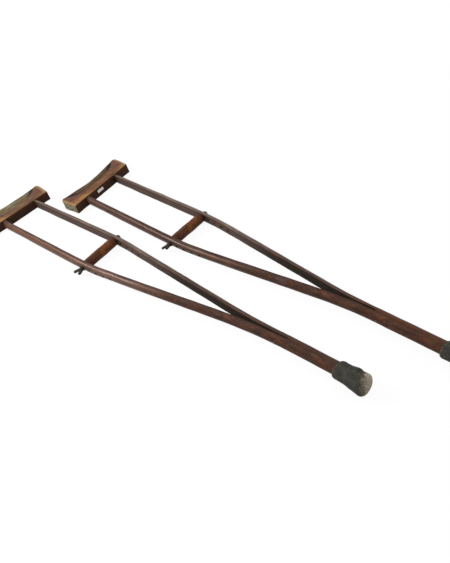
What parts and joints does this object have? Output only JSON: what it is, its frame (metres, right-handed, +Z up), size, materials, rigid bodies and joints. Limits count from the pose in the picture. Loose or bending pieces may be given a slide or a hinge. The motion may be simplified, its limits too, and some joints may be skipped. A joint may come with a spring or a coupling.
{
  "type": "pair of crutches",
  "caption": "Wooden underarm crutches, each a staff split into two bows under a carved arm rest, with a bored hand grip on a wing-nut bolt and a rubber ferrule.",
  "frame": {"origin": "centre of the pair's bounding box on the floor, with both crutches lying on their sides", "axes": "+X along the rear crutch towards its foot, +Y from the front crutch to the rear one, +Z up"},
  "size_m": [1.4582, 0.3992, 0.0497],
  "materials": {
    "staff_wood": "dark stained and worn",
    "arm_rest_wood": "stained, polished by use",
    "grip_wood": "stained, polished by use",
    "iron": "dark and slightly rusted",
    "ferrule_rubber": "aged and scuffed"
  },
  "bodies": {
    "rear_crutch": {"rear_staff": "staff_wood", "rear_arm_rest": "arm_rest_wood", "rear_grip_bolt": "iron", "rear_head_washer": "iron", "rear_fork_rivet": "iron", "rear_rivet_rove": "iron"},
    "rear_grip": {"rear_hand_grip": "grip_wood"},
    "rear_nut_seat": {"rear_nut_washer": "iron"},
    "rear_nut": {"rear_wing_nut": "iron"},
    "rear_foot": {"rear_ferrule": "ferrule_rubber"},
    "front_crutch": {"front_staff": "staff_wood", "front_arm_rest": "arm_rest_wood", "front_grip_bolt": "iron", "front_head_washer": "iron", "front_fork_rivet": "iron", "front_rivet_rove": "iron"},
    "front_grip": {"front_hand_grip": "grip_wood"},
    "front_nut_seat": {"front_nut_washer": "iron"},
    "front_nut": {"front_wing_nut": "iron"},
    "front_foot": {"front_ferrule": "ferrule_rubber"}
  },
  "joints": [
    {"name": "rear_grip_turn", "type": "hinge", "parent": "rear_crutch", "child": "rear_grip", "pos_m": [-0.13342, 0.09833, 0.01793], "axis": [0, -1, 0], "continuous": true},
    {"name": "rear_nut_travel", "type": "slide", "parent": "rear_crutch", "child": "rear_nut_seat", "axis": [0, -1, 0], "range_m": [0, 0.004]},
    {"name": "rear_wing_nut_turn", "type": "hinge", "parent": "rear_nut_seat", "child": "rear_nut", "pos_m": [-0.13342, 0.09833, 0.01793], "axis": [0, -1, 0], "range_deg": [0, 1080]},
    {"name": "rear_ferrule_pull", "type": "slide", "parent": "rear_crutch", "child": "rear_foot", "axis": [1, 0, 0.0081], "range_m": [0, 0.063]},
    {"name": "front_crutch_lift", "type": "slide", "parent": "rear_crutch", "child": "front_crutch", "axis": [0, 0, 1], "range_m": [0, 0.15]},
    {"name": "front_grip_turn", "type": "hinge", "parent": "front_crutch", "child": "front_grip", "pos_m": [-0.28363, -0.08459, 0.01793], "axis": [0.0339, -0.9994, 0], "continuous": true},
    {"name": "front_nut_travel", "type": "slide", "parent": "front_crutch", "child": "front_nut_seat", "axis": [0.0339, -0.9994, 0], "range_m": [0, 0.004]},
    {"name": "front_wing_nut_turn", "type": "hinge", "parent": "front_nut_seat", "child": "front_nut", "pos_m": [-0.28363, -0.08459, 0.01793], "axis": [0.0339, -0.9994, 0], "range_deg": [0, 1080]},
    {"name": "front_ferrule_pull", "type": "slide", "parent": "front_crutch", "child": "front_foot", "axis": [0.9994, 0.0339, 0.0081], "range_m": [0, 0.063]}
  ],
  "couplings": [
    {"joint": "rear_nut_travel", "follows": "rear_wing_nut_turn", "m_per_rad": 0.00020213},
    {"joint": "front_nut_travel", "follows": "front_wing_nut_turn", "m_per_rad": 0.00020213}
  ]
}
